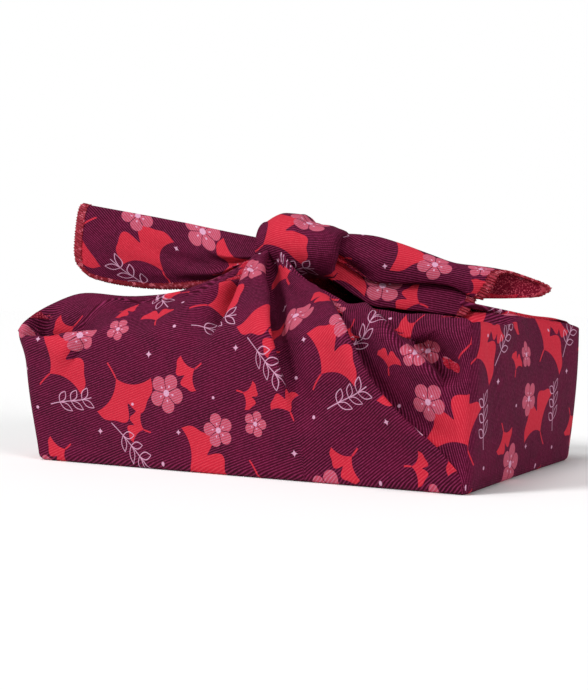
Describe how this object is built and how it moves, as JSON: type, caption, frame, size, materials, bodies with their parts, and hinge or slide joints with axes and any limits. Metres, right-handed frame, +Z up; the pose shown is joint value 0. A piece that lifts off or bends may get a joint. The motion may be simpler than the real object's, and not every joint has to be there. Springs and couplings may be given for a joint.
{
  "type": "furoshiki wrap",
  "caption": "Square printed cotton cloth folded round a long box-shaped parcel and tied on top in a square knot, its corner ends standing out as ears over open pocket mouths.",
  "frame": {"origin": "middle of the parcel's flat underside, within about 1 mm of the bounding box's bottom centre", "axes": "+X along the parcel, towards the end under the open rolled ear; -Y out of the front, which carries the centre pleat; +Z up, from the underside to the knot"},
  "size_m": [0.2434, 0.1443, 0.13],
  "materials": {
    "burgundy_cotton": "burgundy cotton twill with a coral-red and pale pink print and an overlocked crimson edge"
  },
  "bodies": {
    "root": {"furoshiki_cloth": "burgundy_cotton"}
  },
  "joints": []
}
